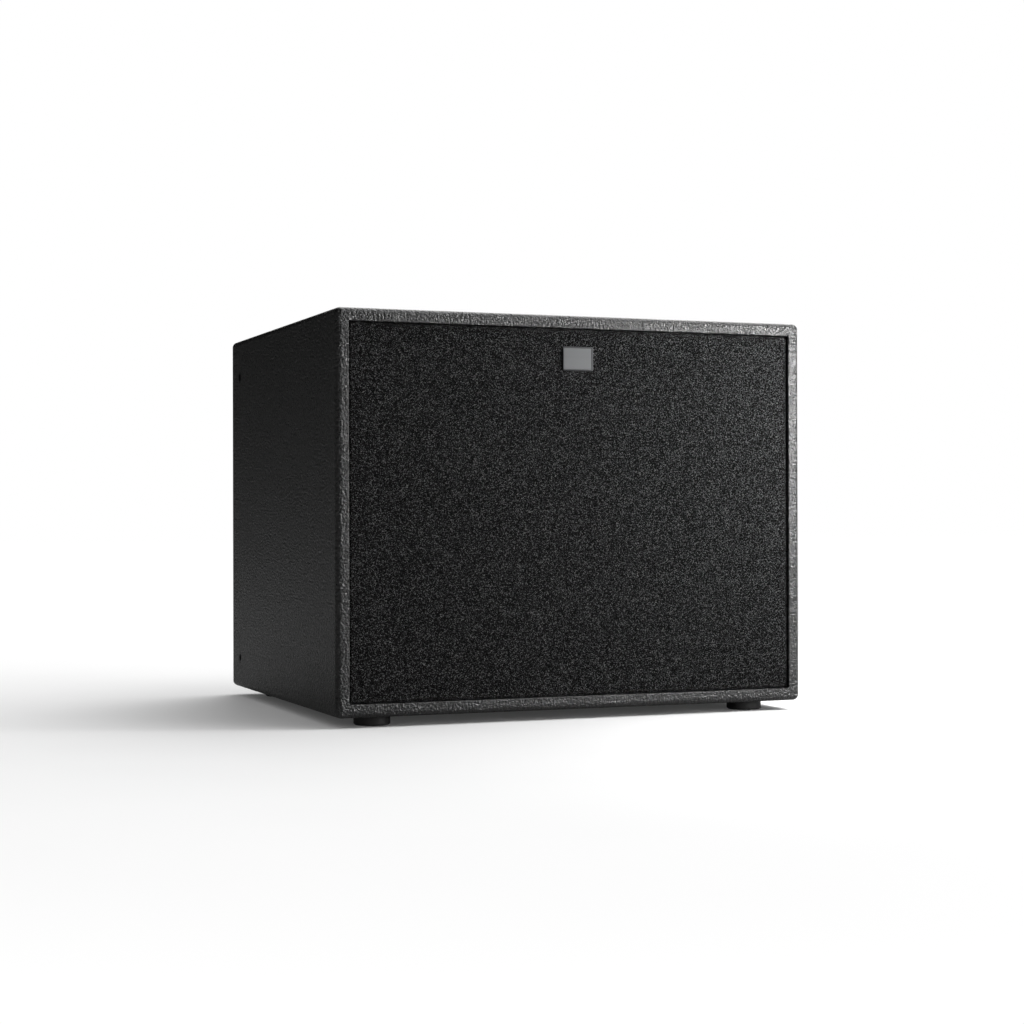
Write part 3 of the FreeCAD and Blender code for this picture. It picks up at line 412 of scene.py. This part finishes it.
def soft_sheet(lo, hi, nx, nz, axis, shape, back=True):
    """A closed slab between corners lo and hi, gridded nx by nz on both large faces.
    axis is its thin axis; shape(u, v) gives how far each face sinks in, 0 to 1 of half."""
    a, b = [i for i in range(3) if i != axis]
    us, vs = np.linspace(0, 1, nx + 1), np.linspace(0, 1, nz + 1)
    U, W = np.meshgrid(us, vs, indexing="ij")
    front, rear = shape(U, W)
    thick = hi[axis] - lo[axis]
    verts = []
    for depth, face in ((front, 0), (rear, 1)):
        p = np.zeros(U.shape + (3,))
        p[..., a] = lo[a] + U * (hi[a] - lo[a])
        p[..., b] = lo[b] + W * (hi[b] - lo[b])
        p[..., axis] = lo[axis] + depth * thick if face == 0 else hi[axis] - depth * thick
        verts.append(p.reshape(-1, 3))
    verts = np.concatenate(verts)
    n = (nx + 1) * (nz + 1)
    at = lambda i, j, s: s * n + i * (nz + 1) + j
    faces = []
    for s in (0, 1):
        for i in range(nx):
            for j in range(nz):
                q = (at(i, j, s), at(i + 1, j, s), at(i + 1, j + 1, s), at(i, j + 1, s))
                faces.append(q if s else q[::-1])
    rim = ([(i, 0) for i in range(nx)] + [(nx, j) for j in range(nz)]
           + [(i, nz) for i in range(nx, 0, -1)] + [(0, j) for j in range(nz, 0, -1)])
    for (i, j), (k, l) in zip(rim, rim[1:] + rim[:1]):
        faces.append((at(i, j, 0), at(k, l, 0), at(k, l, 1), at(i, j, 1)))
    return verts, faces


def foam_piece():
    lo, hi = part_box("grille_foam")
    nx, nz = 244, 188
    rng = np.random.RandomState(11)

    def shape(U, W):
        g = rng.rand(*U.shape)
        g = 0.6 * g + 0.4 * (np.roll(g, 1, 0) + np.roll(g, 1, 1)) / 2
        edge = np.minimum(np.minimum(U, 1 - U) * (hi[0] - lo[0]),
                          np.minimum(W, 1 - W) * (hi[2] - lo[2])) / MM
        ease = np.clip(1 - edge / 1.2, 0, 1) ** 2 * 0.10
        return np.clip(0.002 + g * 0.035 + ease, 0, 0.5), np.zeros_like(U) + 0.002

    v, f = soft_sheet(lo, hi, nx, nz, 1, shape)
    o = outward(piece("foam_front", v, f, "grille_foam", smooth=False))
    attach(o, "grille")
    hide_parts("grille_foam")


def badge():
    """A bare metal plate: rounded corners, a raised rim and a slightly sunk satin field."""
    lo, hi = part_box("badge_plate")
    cx, cz = (lo[0] + hi[0]) / 2, (lo[2] + hi[2]) / 2
    hx, hz = (hi[0] - lo[0]) / 2, (hi[2] - lo[2]) / 2

    def loop(inset, r, y):
        pts = []
        for sx, sz, a0 in ((1, -1, -90), (1, 1, 0), (-1, 1, 90), (-1, -1, 180)):
            for k in range(6):
                a = math.radians(a0 + 18 * k)
                pts.append((cx + sx * (hx - inset - r) + r * math.cos(a), y,
                            cz + sz * (hz - inset - r) + r * math.sin(a)))
        return pts

    f = lo[1]
    rings = [loop(0, 1.0 * MM, hi[1]), loop(0, 1.0 * MM, f + 0.35 * MM),
             loop(0.12 * MM, 0.9 * MM, f + 0.1 * MM), loop(0.35 * MM, 0.8 * MM, f),
             loop(1.0 * MM, 0.6 * MM, f), loop(1.2 * MM, 0.5 * MM, f + 0.3 * MM),
             loop(1.25 * MM, 0.5 * MM, f + 0.55 * MM)]
    n = len(rings[0])
    verts = [p for r in rings for p in r]
    faces = [(i * n + k, i * n + (k + 1) % n, (i + 1) * n + (k + 1) % n, (i + 1) * n + k)
             for i in range(len(rings) - 1) for k in range(n)]
    faces += [tuple(range(n)), tuple(range((len(rings) - 1) * n, len(rings) * n))[::-1]]
    o = outward(piece("badge_rim", verts, faces, "badge_metal", smooth=False))
    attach(o, "grille")
    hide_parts("badge_plate")
    a, b = loop(1.27 * MM, 0.5 * MM, f + 0.40 * MM), loop(1.27 * MM, 0.5 * MM, f + 0.60 * MM)
    q = outward(piece("badge_field", a + b,
                      [tuple(range(n)), tuple(range(n, 2 * n))[::-1]]
                      + [(k, (k + 1) % n, n + (k + 1) % n, n + k) for k in range(n)],
                      None, smooth=False, material=FIELD))
    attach(q, "grille")


def quilt(name, node, keep):
    """A crowned, lumpy slab of wadding for each separate solid of the node."""
    me = nodes[node].data
    co = np.array([v.co for v in me.vertices], float)
    for i, pick in enumerate(keep(co)):
        p = co[pick]
        lo, hi = p.min(0), p.max(0)
        axis = int(np.argmin(hi - lo))
        rng = np.random.RandomState(20 + i)
        bumps = [(rng.rand() * 6 + 2, rng.rand() * 6 + 2, rng.rand() * 6.28) for _ in range(7)]

        def shape(U, W):
            crown = (np.clip(np.sin(math.pi * U), 0, 1) * np.clip(np.sin(math.pi * W), 0, 1)) ** 0.18
            lump = sum(np.sin(k * 3 * U + l * 3 * W + m) for k, l, m in bumps) / 7
            d = np.clip(0.42 * (1 - crown) + 0.05 + 0.04 * lump, 0.004, 0.47)
            return d, d

        v, f = soft_sheet(lo, hi, 48, 40, axis, shape)
        o = outward(piece("%s_%d" % (name, i), v, f, "wadding"))
        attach(o, "root")
        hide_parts(node)


def perforated():
    """The grille's steel sheet: staggered round holes, a plain border and a folded skirt."""
    lo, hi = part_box("grille_sheet")
    t = 1.2 * MM
    y0, y1 = lo[1], lo[1] + t
    px, pz, r = 8.0 * MM, 7.0 * MM, 2.6 * MM
    cx = (lo[0] + hi[0]) / 2
    cz = (lo[2] + hi[2]) / 2
    nx = int((hi[0] - lo[0] - 16 * MM) // px)
    nz = int((hi[2] - lo[2] - 16 * MM) // pz)
    verts, index, faces = [], {}, []

    def vert(x, z, y):
        k = (round(x * 1e6), round(z * 1e6), round(y * 1e6))
        if k not in index:
            index[k] = len(verts)
            verts.append((x, y, z))
        return index[k]

    x_lo, z_lo = cx - nx * px / 2, cz - nz * pz / 2
    for row in range(nz):
        z = z_lo + (row + 0.5) * pz
        shift = px / 2 if row % 2 else 0
        count = nx - 1 if row % 2 else nx
        for i in range(count):
            x = x_lo + (i + 0.5) * px + shift
            rim = ([(k * px / 4, -pz / 2) for k in (-2, -1, 0, 1, 2)] + [(px / 2, 0)]
                   + [(k * px / 4, pz / 2) for k in (2, 1, 0, -1, -2)] + [(-px / 2, 0)])
            hole = []
            for a, b in rim:
                s = r / math.hypot(a, b)
                hole.append((a * s, b * s))
            for k in range(12):
                m = (k + 1) % 12
                q = [(x + rim[k][0], z + rim[k][1]), (x + rim[m][0], z + rim[m][1]),
                     (x + hole[m][0], z + hole[m][1]), (x + hole[k][0], z + hole[k][1])]
                faces.append([vert(*p, y0) for p in q])
                faces.append([vert(*p, y1) for p in q[::-1]])
                faces.append([vert(*q[3], y0), vert(*q[2], y0), vert(*q[2], y1), vert(*q[3], y1)])
        if row % 2:
            for side in (0, 1):
                a = x_lo if side == 0 else x_lo + nx * px - px / 2
                ring = ([(a + k * px / 4, z - pz / 2) for k in (0, 1, 2)] + [(a + px / 2, z)]
                        + [(a + k * px / 4, z + pz / 2) for k in (2, 1, 0)] + [(a, z)])
                faces.append([vert(*p, y0) for p in ring])
                faces.append([vert(*p, y1) for p in ring[::-1]])
    # border: the field's outline joined to the sheet's own, then the skirt
    X0, X1, Z0, Z1 = lo[0], hi[0], lo[2], hi[2]
    fx1, fz1 = x_lo + nx * px, z_lo + nz * pz
    xs = [x_lo + k * px / 4 for k in range(4 * nx + 1)]
    zs = [z_lo + k * pz / 2 for k in range(2 * nz + 1)]
    loop = ([(x, z_lo) for x in xs[:-1]] + [(fx1, z) for z in zs[:-1]]
            + [(x, fz1) for x in xs[:0:-1]] + [(x_lo, z) for z in zs[:0:-1]])

    def push(p, x0, x1, z0, z1):
        u = (p[0] - x_lo) / (fx1 - x_lo)
        w = (p[1] - z_lo) / (fz1 - z_lo)
        return (x0 + u * (x1 - x0), z0 + w * (z1 - z0))

    outer = [push(p, X0, X1, Z0, Z1) for p in loop]
    inner = [push(p, X0 + t, X1 - t, Z0 + t, Z1 - t) for p in loop]
    m = len(loop)
    for k in range(m):
        j = (k + 1) % m
        faces.append([vert(*outer[k], y0), vert(*outer[j], y0), vert(*loop[j], y0), vert(*loop[k], y0)])
        faces.append([vert(*loop[k], y1), vert(*loop[j], y1), vert(*inner[j], y1), vert(*inner[k], y1)])
        faces.append([vert(*inner[k], y1), vert(*inner[j], y1), vert(*inner[j], hi[1]), vert(*inner[k], hi[1])])
        faces.append([vert(*inner[k], hi[1]), vert(*inner[j], hi[1]), vert(*outer[j], hi[1]), vert(*outer[k], hi[1])])
        faces.append([vert(*outer[k], hi[1]), vert(*outer[j], hi[1]), vert(*outer[j], y0), vert(*outer[k], y0)])
    o = outward(piece("perforated_sheet", verts, faces, "grille_steel", smooth=False))
    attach(o, "grille")
    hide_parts("grille_sheet")


DRV_X, DRV_Y, DRV_Z = -60.0, -140.0, 172.5


def ring_sectors(name, node, profile, r_in, r_out, slot, count=24, steps=5):
    """A turned soft ring cut in sectors. profile is (radius, height) in mm."""
    n = len(profile)
    for s in range(count):
        a0 = 2 * math.pi * s / count
        da = 2 * math.pi / count
        verts, faces = [], []
        for i in range(steps + 1):
            a = a0 + da * i / steps
            for r, h in profile:
                verts.append(((DRV_X + r * math.cos(a)) * MM, (DRV_Y - h) * MM,
                              (DRV_Z + r * math.sin(a)) * MM))
        for i in range(steps):
            for k in range(n):
                m = (k + 1) % n
                faces.append((i * n + k, i * n + m, (i + 1) * n + m, (i + 1) * n + k))
        faces.append(tuple(range(n)))
        faces.append(tuple(range(steps * n, steps * n + n))[::-1])
        o = outward(piece("%s_%02d" % (name, s), verts, faces, slot))
        for p in o.data.polygons[-2:]:
            p.use_smooth = False
            for e in p.edge_keys:
                o.data.edges[o.data.edge_keys.index(e)].use_edge_sharp = True
        mid = a0 + da / 2
        at = lambda r: ((DRV_X + r * math.cos(mid)) * MM, DRV_Y * MM, (DRV_Z + r * math.sin(mid)) * MM)
        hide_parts(node)
        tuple(at(r_in))
        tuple(at(r_out))
        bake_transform(o)


def surround_profile():
    mid, ro, ri = 104.0, 10.0, 8.8
    out = [(88.0, 0.0)]
    out += [(mid - ro * math.cos(math.pi * k / 14), ro * math.sin(math.pi * k / 14)) for k in range(15)]
    out += [(121.0, 0.0), (121.0, -0.8)]
    out += [(mid + ri * math.cos(math.pi * k / 14), ri * math.sin(math.pi * k / 14) - 0.8 * (k in (0, 14)))
            for k in range(15)]
    out += [(88.0, -0.8)]
    return out


def spider_profile():
    pts = [(25.5, -63.0), (28, -63.0), (33, -62.0), (38, -65.5), (43, -62.0), (48, -65.5),
           (53, -62.0), (58, -65.5), (63, -63.5), (67, -68.2), (72.8, -68.2)]
    rs = np.array([p[0] for p in pts])
    hs = np.array([p[1] for p in pts])
    r = np.concatenate([np.linspace(a, b, 5)[:-1] for a, b in zip(rs[:-1], rs[1:])] + [rs[-1:]])
    h = np.interp(r, rs, hs)
    h = np.convolve(np.pad(h, 2, mode="edge"), np.array([1, 2, 3, 2, 1]) / 9.0, mode="valid")
    top = list(zip(r, h))
    return top + [(a, b - 0.8) for a, b in reversed(top)]


def flexing_leads():
    src = nodes["tinsel_leads"]
    me = src.data.copy()
    me.name = "flex_leads"
    o = bpy.data.objects.new("flex_leads", me)
    scene.collection.objects.link(o)
    lo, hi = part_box("tinsel_leads")
    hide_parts("tinsel_leads")
    mx, mz = (lo[0] + hi[0]) / 2, (lo[2] + hi[2]) / 2
    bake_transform(o)


def dial_marks(name, cx, cz):
    """Eleven ticks round a knob and the numbers 0, 5 and 10, printed on the plate."""
    verts, faces = [], []
    y0, y1 = 160.0, 160.12
    for k in range(11):
        a = math.radians(-150 + 30 * k)
        long = 1.9 if k % 5 == 0 else 1.2
        d = np.array([-math.sin(a), math.cos(a)])
        side = np.array([d[1], -d[0]]) * (0.28 if k % 5 == 0 else 0.18)
        c = np.array([cx, cz])
        q = [c + d * 12 + side, c + d * (12 + long) + side, c + d * (12 + long) - side, c + d * 12 - side]
        b = len(verts)
        for y in (y0, y1):
            verts += [(p[0] * MM, y * MM, p[1] * MM) for p in q]
        faces += [(b, b + 1, b + 2, b + 3), (b + 7, b + 6, b + 5, b + 4)]
        faces += [(b + i, b + (i + 1) % 4, b + 4 + (i + 1) % 4, b + 4 + i) for i in range(4)]
    o = outward(piece(name + "_ticks", verts, faces, None, smooth=False, material=PRINT))
    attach(o, "root")
    for k in (0, 5, 10):
        a = math.radians(-150 + 30 * k)
        r = 16.4
        cu = bpy.data.curves.new("n", "FONT")
        cu.body = str(k)
        cu.size = 3.3 * MM
        cu.extrude = 0.06 * MM
        cu.align_x, cu.align_y = "CENTER", "CENTER"
        tmp = bpy.data.objects.new("n", cu)
        scene.collection.objects.link(tmp)
        bpy.context.view_layer.update()
        me = bpy.data.meshes.new_from_object(tmp.evaluated_get(bpy.context.evaluated_depsgraph_get()))
        bpy.data.objects.remove(tmp)
        turn = Matrix(((-1, 0, 0, 0), (0, 0, 1, 0), (0, 1, 0, 0), (0, 0, 0, 1)))
        me.transform(Matrix.Translation(((cx - math.sin(a) * r) * MM, 160.06 * MM,
                                         (cz + math.cos(a) * r) * MM)) @ turn)
        me.materials.clear()
        me.materials.append(PRINT)
        t = bpy.data.objects.new("%s_number_%d" % (name, k), me)
        scene.collection.objects.link(t)
        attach(t, "root")


# ---------------------------------------------------------------- stage
def stage():
    me = bpy.data.meshes.new("floor")
    me.from_pydata([(-12, -12, 0), (12, -12, 0), (12, 12, 0), (-12, 12, 0)], [], [(0, 1, 2, 3)])
    n = Nodes("floor")
    n.set(Specular_IOR_Level=0.1)
    n.colour(n.ramp(n.noise(3, 2), [(0.3, (0.86, 0.86, 0.86)), (0.7, (0.88, 0.88, 0.88))]))
    n.rough(n.span(n.noise(8, 2), 0.3, 0.7, 0.75, 0.85))
    # far floor runs out to white, as a sweep does; it lights nothing
    t = n.t
    far = t.nodes.new("ShaderNodeVectorMath")
    far.operation = "LENGTH"
    n.link(n.coord, far.inputs[0])
    glow = t.nodes.new("ShaderNodeEmission")
    glow.inputs["Strength"].default_value = 1.02
    path = t.nodes.new("ShaderNodeLightPath")
    mix = t.nodes.new("ShaderNodeMixShader")
    n.link(n.math("MULTIPLY", n.span(far.outputs["Value"], 0.55, 1.15, 0.0, 1.0),
                  path.outputs["Is Camera Ray"]), mix.inputs["Fac"])
    dull = t.nodes.new("ShaderNodeBsdfDiffuse")
    dull.inputs["Color"].default_value = (0.27, 0.27, 0.27, 1)
    seen = t.nodes.new("ShaderNodeMixShader")
    n.link(path.outputs["Is Camera Ray"], seen.inputs["Fac"])
    n.link(dull.outputs["BSDF"], seen.inputs[1])
    n.link(n.b.outputs["BSDF"], seen.inputs[2])
    # a faint glow over the whole floor, seen only by the camera: painted light that lifts the cast shadows under and
    # beside the box
    painted_shadow_lift = t.nodes.new("ShaderNodeEmission")
    n.link(n.math("MULTIPLY", path.outputs["Is Camera Ray"], 0.040), painted_shadow_lift.inputs["Strength"])
    both = t.nodes.new("ShaderNodeAddShader")
    n.link(seen.outputs["Shader"], both.inputs[0])
    n.link(painted_shadow_lift.outputs["Emission"], both.inputs[1])
    n.link(both.outputs["Shader"], mix.inputs[1])
    n.link(glow.outputs["Emission"], mix.inputs[2])
    n.link(mix.outputs["Shader"], n.out.inputs["Surface"])
    me.materials.append(n.m)
    o = bpy.data.objects.new("floor", me)
    scene.collection.objects.link(o)

    w = bpy.data.worlds.new("studio")
    w.use_nodes = True
    t = w.node_tree
    t.nodes.clear()
    out = t.nodes.new("ShaderNodeOutputWorld")
    mix = t.nodes.new("ShaderNodeMixShader")
    path = t.nodes.new("ShaderNodeLightPath")
    dim = t.nodes.new("ShaderNodeBackground")
    dim.inputs["Color"].default_value = (1, 1, 1, 1)
    dim.inputs["Strength"].default_value = 0.01
    fill = t.nodes.new("ShaderNodeBackground")
    fill.inputs["Color"].default_value = (1, 1, 1, 1)
    fill.inputs["Strength"].default_value = 0.44
    soft = t.nodes.new("ShaderNodeMixShader")
    t.links.new(path.outputs["Is Diffuse Ray"], soft.inputs["Fac"])
    t.links.new(dim.outputs["Background"], soft.inputs[1])
    t.links.new(fill.outputs["Background"], soft.inputs[2])
    bright = t.nodes.new("ShaderNodeBackground")
    bright.inputs["Color"].default_value = (1, 1, 1, 1)
    bright.inputs["Strength"].default_value = 1.0
    t.links.new(path.outputs["Is Camera Ray"], mix.inputs["Fac"])
    t.links.new(soft.outputs["Shader"], mix.inputs[1])
    t.links.new(bright.outputs["Background"], mix.inputs[2])
    t.links.new(mix.outputs["Shader"], out.inputs["Surface"])
    scene.world = w


def lamp(name, at, to, size, power):
    d = bpy.data.lights.new(name, "AREA")
    d.shape = "RECTANGLE"
    d.size, d.size_y = size
    d.energy = power
    o = bpy.data.objects.new(name, d)
    scene.collection.objects.link(o)
    o.visible_camera = False
    o.location = at
    o.rotation_euler = (Vector(to) - Vector(at)).to_track_quat("-Z", "Y").to_euler()


camera()
stage()
# the front lamps stand below the lid's plane, so none of them glares off it from behind
lamp("corner", (0.38, -0.40, 0.305), (0.17, -0.17, 0.315), (0.14, 0.05), 2.5)
lamp("strip", (0.66, -0.88, 0.23), (0.18, -0.17, 0.27), (0.40, 0.20), 2.0)
lamp("front", (1.45, -1.75, 0.20), (0.05, -0.17, 0.17), (1.1, 0.26), 2.2)
lamp("top", (1.25, -0.50, 2.4), (0.15, -0.1, 0.0), (2.6, 2.2), 43)
lamp("rear", (1.2, 1.9, 2.2), (0.0, 0.1, 0.25), (2.6, 2.2), 56)
scene.view_settings.view_transform = "Standard"
scene.view_settings.look = "None"

foam_piece()
badge()
perforated()
quilt("wadding_slab_tb", "wadding_top_bottom",
      lambda c: [c[:, 2] > 0.1725, c[:, 2] < 0.1725])
quilt("wadding_slab_lr", "wadding_sides", lambda c: [c[:, 0] < 0, c[:, 0] > 0])
ring_sectors("surround_part", "surround", surround_profile(), 95.5, 111.0, "surround_rubber", 60, 2)
ring_sectors("spider_part", "spider", spider_profile(), 27.0, 66.0, "spider_cloth")
flexing_leads()
dial_marks("gain", 96.0, 166.5)
dial_marks("crossover", 60.0, 166.5)
